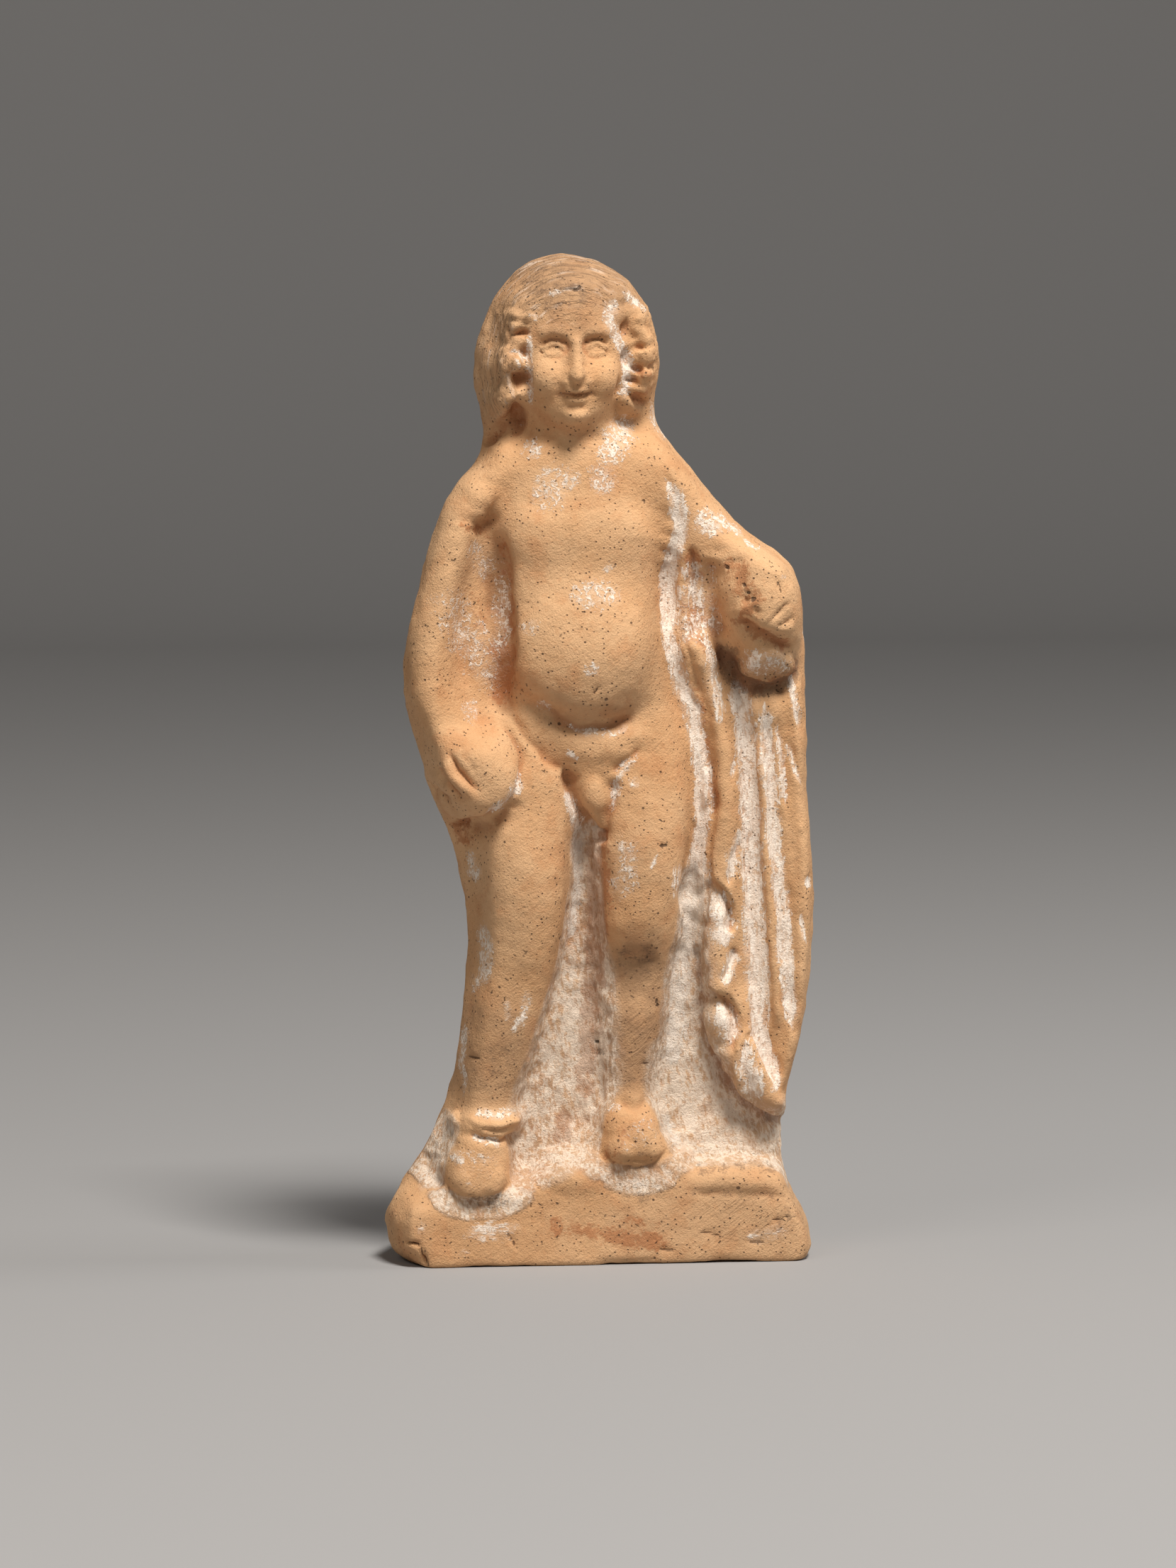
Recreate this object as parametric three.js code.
// Terracotta statuette of a standing child, bare but for a cloak over the left arm, on a low plinth.
// It was pressed in one front mould and closed with a plain back, so it is one solid piece.
// Millimetres, +Z up. The figure faces -Y, and the origin is the middle of the underside.
import * as THREE from "three";

// Driving dimensions
const height = 187;
const backDepth = 12; // from the mould seam to the plain back
const slabFront = -5.5; // the recessed ground between the limbs
const seamDepth = 2.5; // where the mould half meets the back, along the outline
const plinthFront = -15;
const plinthTop = 15;
const edgeRound = { body: 4, plinth: 3.5, back: 11, backPlinth: 4 };
const press = 0.9; // the mould softens everything that is narrower than this

// How finely the skin is divided
const frontColumns = 54;
const backColumns = 12;
const rowBands = [
  { top: 18, rows: 10 },
  { top: 60, rows: 15 },
  { top: 110, rows: 17 },
  { top: 154, rows: 14 },
  { top: 182, rows: 13 },
];
const crownRows = 4;

// The outline seen from the front, as [x, z] from the foot to the crown
const crown = [-6.5, height];
const outline = {
  left: [
    [-36, 0], [-38.8, 2.5], [-39.6, 8], [-38.4, 11.5], [-32, 21.5], [-27.5, 32], [-25.2, 48],
    [-24, 59], [-26.2, 74.5], [-32.3, 90.5], [-35.3, 103], [-35.2, 114.5], [-30.6, 133],
    [-26.4, 143.3], [-22.2, 149], [-21, 155.5], [-22.6, 164], [-21.6, 172.5], [-18, 180.2],
    [-12.5, 185.3], crown,
  ],
  right: [
    [39.6, 0], [40.6, 2], [39.1, 8], [34.9, 16.5], [34.7, 22], [36.3, 31], [39, 42], [41.4, 64],
    [40.8, 76.5], [39.6, 89], [39.5, 111], [38.4, 125], [35.5, 130.5], [28.8, 135], [21.3, 143],
    [12.8, 153.6], [11.4, 160], [12, 168], [8, 180], [0.9, 185.3], crown,
  ],
};

// Each mass is a swelling that rises out of the ground. Its line holds [x, z, half width, front],
// where front is the depth of its crest. deep is how far it falls away at its half width.
// blend is how wide its foot is filled, and square above 2 makes it flatter with steeper sides.
const head = {
  skull: { line: [[-5.6, 170, 16.8, -12.6]], deep: 8, blend: 2 },
  face: {
    line: [[-6, 173.5, 10, -15.8], [-5.8, 163, 8.2, -16.6], [-5.8, 159.6, 6, -16]],
    deep: 6, blend: 2.5,
  },
  cheeks: { line: [[-9.6, 164.6, 4.2, -16.4], [-2, 164.6, 4.2, -16.4]], deep: 3, blend: 1.6 },
  chin: { line: [[-5.8, 158.2, 2.8, -17]], deep: 3, blend: 1.4 },
  nose: { line: [[-5.8, 170.6, 1.3, -17], [-5.8, 165.4, 1.9, -19.2]], deep: 2.4, blend: 1 },
  backHair: { line: [[-19.2, 175, 3, -6], [-20, 166, 3.4, -7], [-19.2, 157, 3.4, -6]], deep: 4, blend: 2 },
  neck: { line: [[-6, 157, 7.4, -9], [-5.4, 149, 9, -10]], deep: 4, blend: 4 },
};
// Side locks of the hair, as [x, z, radius, front]
const locks = [
  [-15.4, 177.6, 3.2, -13], [-17, 172.2, 3, -13.4], [-17.8, 166.6, 3.4, -13.8], [-16.8, 160.2, 3.8, -12.6],
  [4, 180, 3.2, -12.4], [7, 175, 3.2, -13.2], [8, 169.4, 3.2, -13.6], [7.4, 164.2, 2.9, -13],
  [5, 160, 2.6, -11.6],
];
const lockShape = { deep: 4, blend: 1 };
const trunk = {
  girdle: {
    line: [[-25, 143.4, 5.4, -10.6], [-18.4, 146.8, 6.2, -11.4], [-5.4, 148, 7.4, -11.4],
      [6, 147.8, 7, -11.6], [12.6, 144, 6.6, -11.2]],
    deep: 6, blend: 2.5,
  },
  chest: {
    line: [[-4, 142, 15.8, -13.8], [-4.6, 132, 15.6, -15.2], [-4.6, 123, 15, -15.8],
      [-4.2, 113, 15.2, -15.8], [-2.4, 104.5, 16, -14.4], [-0.8, 96, 16.4, -13.2], [-1.2, 93, 9, -12.8]],
    deep: 8.5, blend: 2, square: 2.5,
  },
  upperChest: { line: [[-11.4, 135, 6, -15.6], [2.4, 135, 6, -15.6]], deep: 2.5, blend: 2 },
  belly: { line: [[-4.2, 114, 13, -19]], deep: 6, blend: 2.5, tall: 1.06 },
  hipEnd: { line: [[-2.4, 90, 4, -12.4], [-1.4, 84, 2.8, -10.6], [-1.4, 80, 1.8, -8]], deep: 4, blend: 2.5 },
};
const arms = {
  rightArm: {
    line: [[-26.6, 142, 5.8, -12], [-29.8, 132.4, 5.8, -12.8], [-32, 122, 5.8, -13],
      [-32.4, 111.5, 5.8, -13], [-30.6, 102, 6.2, -13.8]],
    deep: 6.5, blend: 2.5, square: 2.4,
  },
  armWeb: {
    line: [[-23.4, 135, 3.4, -8.2], [-23.6, 122, 4.2, -8], [-23.6, 110, 4.2, -8.4], [-23, 101, 5, -10]],
    deep: 4, blend: 2.5,
  },
  rightHand: {
    line: [[-28.6, 96.4, 6.8, -16], [-24.8, 91.6, 8.2, -19.2], [-21.6, 89.8, 6.8, -18.4]],
    deep: 9, blend: 1.4, square: 2.4,
  },
  leftUpper: {
    line: [[10, 145, 7, -11.6], [16, 139, 7, -11.8], [21.6, 133.6, 6, -12.6]],
    deep: 4.5, blend: 4,
  },
  leftSleeve: {
    line: [[16.6, 133, 4.8, -10.4], [17.8, 122, 5, -10], [18, 113, 4.6, -9.4]],
    deep: 3, blend: 3,
  },
  leftFist: {
    line: [[28.4, 129, 8.4, -17], [29.4, 124, 9, -20], [30, 119.4, 8.6, -18.6], [30.2, 116.4, 7.4, -16.6]],
    deep: 12, blend: 1.2, square: 2.1,
  },
};
// Beside the legs and feet, the sloping ledge that each foot stands on
const legs = {
  rightLeg: {
    line: [[-14.6, 95.7, 9, -13.4], [-14.4, 85, 9, -15], [-14.2, 72, 8.2, -15.6], [-14.9, 61, 7.6, -15.2],
      [-16.4, 52.8, 7.4, -13.6], [-18, 46.5, 7.5, -13.2], [-20.2, 37.4, 7, -12.2], [-21.4, 29, 5.2, -11.4]],
    deep: 7.5, blend: 2, square: 2.5,
  },
  leftLeg: {
    line: [[6.3, 95.4, 10.6, -13.6], [7.5, 85.6, 9.6, -14.8], [7.5, 75, 8.4, -15.6], [7.1, 65, 7.6, -15],
      [6.6, 55, 6.8, -12.2], [6.1, 47, 6.5, -11.6], [5.6, 39, 5.8, -11.2], [4.9, 30, 4.6, -10.8]],
    deep: 7.5, blend: 2, square: 2.5,
  },
  rightCuff: {
    line: [[-26.4, 26.6, 1.8, -12], [-21.4, 25.6, 2, -15.4], [-16.2, 26.6, 1.8, -12]],
    deep: 4, blend: 0.6,
  },
  rightFoot: {
    line: [[-22, 20.8, 4.6, -12.6], [-23, 19.4, 5.8, -14], [-23.8, 17.2, 5.4, -15.6]],
    deep: 5, blend: 1, square: 3.2,
  },
  leftFoot: {
    line: [[5, 27.4, 4.8, -11.8], [5.3, 25, 5.8, -13.4], [5.5, 22.4, 5.2, -15.2]],
    deep: 5, blend: 1, square: 3.2,
  },
  rightTread: { line: [[-29, 10.4, 4, -13.6], [-18, 10.8, 4, -13.6]], deep: 3, blend: 1.5 },
  leftTread: { line: [[-0.5, 15.4, 5, -13.4], [11.5, 15.8, 5, -13.4]], deep: 4, blend: 1.5 },
};
const cloak = {
  panel: {
    line: [[28.7, 108, 10.4, -8.8], [29.4, 92, 10.4, -8.8], [30, 76, 10.6, -8.8], [29.6, 60, 10.6, -8.8],
      [29.6, 47, 10, -8.8], [30.2, 38, 7.4, -8.8], [32, 30.6, 3.6, -8.6]],
    deep: 2.6, blend: 0.8, square: 4,
  },
  shoulderBand: {
    line: [[14.2, 122, 3.4, -8.4], [14.6, 112, 3.2, -8.6], [17, 100, 3, -8.8], [18.8, 86, 2.6, -8.4],
      [18.4, 66, 2, -7.4]],
    deep: 3, blend: 1.6,
  },
};

// Fold ridges of the cloak and lines sunk into the skin, as [x, z] points with a width and a rise
const folds = [
  { line: [[12.9, 115.4], [16.9, 100.2], [18.8, 83], [18.6, 66]], width: 1.3, rise: 1.4 },
  { line: [[16.2, 115], [21.6, 96], [22.8, 71], [21.8, 57], [23.2, 44], [28.6, 33]], width: 1.9, rise: 2.6 },
  { line: [[27.8, 108], [30, 83], [31.4, 57], [32.6, 45]], width: 1.2, rise: 2.6 },
  { line: [[32, 105], [33.8, 76], [35, 52]], width: 1.1, rise: 2 },
  { line: [[36.4, 107], [37.8, 76], [37.2, 50], [34, 30]], width: 1.6, rise: 2.8 },
  { line: [[26.8, 48], [28.6, 38], [32.6, 29]], width: 1.3, rise: 2 },
];
const creases = [
  { line: [[-14, 105.5], [-9, 102], [-2.4, 100.3], [6.7, 102.6]], width: 1.8, rise: -1.9 },
  { line: [[-20.8, 139], [-20.6, 121], [-19.6, 106]], width: 1.6, rise: -2.4 },
  { line: [[20.6, 113.4], [25, 109.6], [31, 108.2], [37, 110.2]], width: 1.8, rise: -1.8 },
  { line: [[12, 138], [11.2, 125], [12, 111], [15.2, 97.6], [16.8, 83], [16, 69]], width: 1.3, rise: -1.2 },
  { line: [[-12, 97], [-7.6, 92.4], [-5, 90]], width: 1.5, rise: -1 },
  { line: [[8.4, 97], [3.4, 92.2], [-0.4, 89]], width: 1.5, rise: -0.8 },
  { line: [[-26.6, 93.6], [-23, 89.8]], width: 0.9, rise: -1.1 },
  { line: [[21, 119], [26, 117.4], [33, 119]], width: 1, rise: -1 },
  { line: [[-10.6, 169], [-8.2, 168.6]], width: 1.4, rise: -1.5 },
  { line: [[-3.4, 168.6], [-1, 169]], width: 1.4, rise: -1.5 },
  { line: [[-8.2, 161.4], [-3.4, 161.4]], width: 0.8, rise: -0.8 },
];

const rise = (from, to, t) => THREE.MathUtils.lerp(from, to, THREE.MathUtils.smoothstep(t, 0, 1));

// A smooth line through points of any length, as evenly spread samples.
function sampled(points, count) {
  if (points.length === 1) return [points[0]];
  const track = (axis) => new THREE.SplineCurve(points.map((p, i) => new THREE.Vector2(i, p[axis])));
  const tracks = points[0].map((_, axis) => track(axis));
  return Array.from({ length: count + 1 }, (_, i) => tracks.map((one) => one.getPoint(i / count).y));
}

const lineSamples = 64;
const masses = [head, trunk, arms, legs, cloak]
  .flatMap((group) => Object.values(group))
  .concat(locks.map((lock) => ({ line: [lock], ...lockShape })))
  .map((mass) => ({ square: 2, tall: 1, ...mass, dots: sampled(mass.line, lineSamples) }));
const strokes = [...folds, ...creases]
  .map((stroke) => ({ ...stroke, dots: sampled(stroke.line, lineSamples) }));

// The depth of one mass at a place. Past its half width it drops away behind the ground.
function massDepth(mass, x, z) {
  const dropOutside = 2;
  let nearest = Infinity;
  for (const [cx, cz, half, front] of mass.dots) {
    const share = Math.hypot(x - cx, (z - cz) / mass.tall) / half;
    const inside = 1 - (1 - Math.min(share, 1) ** mass.square) ** (1 / mass.square);
    const fall = inside + dropOutside * Math.max(share - 1, 0);
    nearest = Math.min(nearest, front + mass.deep * fall);
  }
  return nearest;
}

// The nearer of two depths, with the corner between them filled.
function blended(a, b, radius) {
  const overlap = Math.max(radius - Math.abs(a - b), 0) / radius;
  return Math.min(a, b) - (overlap * overlap * radius) / 4;
}

// The top edge of the plinth's face, which dips below each foot.
const plinthEdge = sampled(
  [[-41, 14], [-31, 12.6], [-23, 11], [-15.8, 14.9], [-6, 18.4], [5, 14.6], [13, 16.6], [24, 17.4], [42, 16]],
  80,
);
function plinthDepth(x, z) {
  const shoulder = 3.4; // how high the ledge behind the face climbs
  const backLean = 0.08;
  const beside = plinthEdge.find((p) => p[0] >= x) ?? plinthEdge.at(-1);
  const climb = (z - beside[1]) / shoulder + 0.5;
  return rise(plinthFront + backLean * z, slabFront + 1, climb);
}

const outlineSamples = 240;
const sides = Object.fromEntries(
  Object.entries(outline).map(([side, points]) => [side, sampled(points, outlineSamples)]),
);
const rim = [...sides.left, ...sides.right];

// Where one side of the outline is at a height.
function edgeAt(side, z) {
  const points = sides[side];
  const above = Math.max(points.findIndex((p) => p[1] >= z), 1);
  const [low, high] = [points[above - 1], points[above]];
  const share = THREE.MathUtils.clamp((z - low[1]) / (high[1] - low[1] || 1), 0, 1);
  return THREE.MathUtils.lerp(low[0], high[0], share);
}

// 0 on the outline and 1 once a place is a rounding radius inside it, along a quarter circle.
function fullness(x, z, radius) {
  let gap = radius;
  for (const [ex, ez] of rim) gap = Math.min(gap, Math.hypot(x - ex, z - ez));
  const share = gap / radius;
  return Math.sqrt(1 - (1 - share) ** 2);
}

function reliefDepth(x, z) {
  let depth = slabFront;
  for (const mass of masses) depth = blended(depth, massDepth(mass, x, z), mass.blend);
  depth = blended(depth, plinthDepth(x, z), 1.2);
  for (const stroke of strokes) {
    const gap = Math.min(...stroke.dots.map(([cx, cz]) => Math.hypot(x - cx, z - cz)));
    depth -= stroke.rise * Math.exp(-((gap / stroke.width) ** 2));
  }
  return depth;
}

// The relief as the mould presses it: the mean of the place and of four beside it.
function pressedDepth(x, z) {
  const around = [[0, 0], [press, 0], [-press, 0], [0, press], [0, -press]];
  return around.reduce((sum, [dx, dz]) => sum + reliefDepth(x + dx, z + dz), 0) / around.length;
}

function frontDepth(x, z) {
  const radius = rise(edgeRound.plinth, edgeRound.body, (z - plinthTop) / 6 + 0.5);
  return THREE.MathUtils.lerp(seamDepth, pressedDepth(x, z), fullness(x, z, radius));
}

function rearDepth(x, z) {
  const radius = rise(edgeRound.backPlinth, edgeRound.back, (z - plinthTop) / 8 + 0.5);
  return THREE.MathUtils.lerp(seamDepth, backDepth, fullness(x, z, radius));
}

// Heights of the rings, from the underside to just under the crown.
const rowHeights = [0];
for (const { top, rows } of rowBands) {
  const from = rowHeights.at(-1);
  for (let i = 1; i <= rows; i++) rowHeights.push(THREE.MathUtils.lerp(from, top, i / rows));
}
const crownFrom = rowHeights.at(-1);
for (let i = 1; i < crownRows; i++) {
  rowHeights.push(crownFrom + (height - crownFrom) * Math.sin((i / crownRows) * (Math.PI / 2)));
}

// A place on the ring at a height: across the front from left to right, and home along the back.
function ringPoint(column, z) {
  const crowding = 0.45; // draws the columns towards the outline, where the skin turns away
  const onFront = column <= frontColumns;
  const share = onFront ? column / frontColumns : 1 - (column - frontColumns) / backColumns;
  const across = THREE.MathUtils.lerp(2 * share - 1, -Math.cos(Math.PI * share), crowding);
  const [left, right] = [edgeAt("left", z), edgeAt("right", z)];
  const x = (left + right) / 2 + (across * (right - left)) / 2;
  return [x, onFront ? frontDepth(x, z) : rearDepth(x, z), z];
}

// A lathe from the underside's middle to the crown, with each ring pushed out to its section.
function statuetteGeometry() {
  const ringSize = frontColumns + backColumns;
  const ends = [new THREE.Vector2(0, 0), new THREE.Vector2(0, height)];
  const profile = [ends[0], ...rowHeights.map((z) => new THREE.Vector2(1, z)), ends[1]];
  const geometry = new THREE.LatheGeometry(profile, ringSize);
  const position = geometry.getAttribute("position");
  const underside = ringPoint(Math.round(frontColumns / 2), 0);
  for (let i = 0; i < position.count; i++) {
    const column = Math.floor(i / profile.length) % ringSize;
    const row = (i % profile.length) - 1;
    if (row < 0) position.setXYZ(i, underside[0], 0, 0);
    else if (row === rowHeights.length) position.setXYZ(i, crown[0], seamDepth, height);
    else position.setXYZ(i, ...ringPoint(column, rowHeights[row]));
  }
  geometry.computeBoundingBox();
  const middle = geometry.boundingBox.getCenter(new THREE.Vector3());
  geometry.translate(-middle.x, -middle.y, 0);
  geometry.computeVertexNormals();
  return geometry;
}

const terracotta = new THREE.MeshStandardMaterial({ color: 0xd3a070, roughness: 0.9, metalness: 0 });
const statuette = new THREE.Mesh(statuetteGeometry(), terracotta);
statuette.name = "statuette";

const group = new THREE.Group();
group.add(statuette);

export default group;
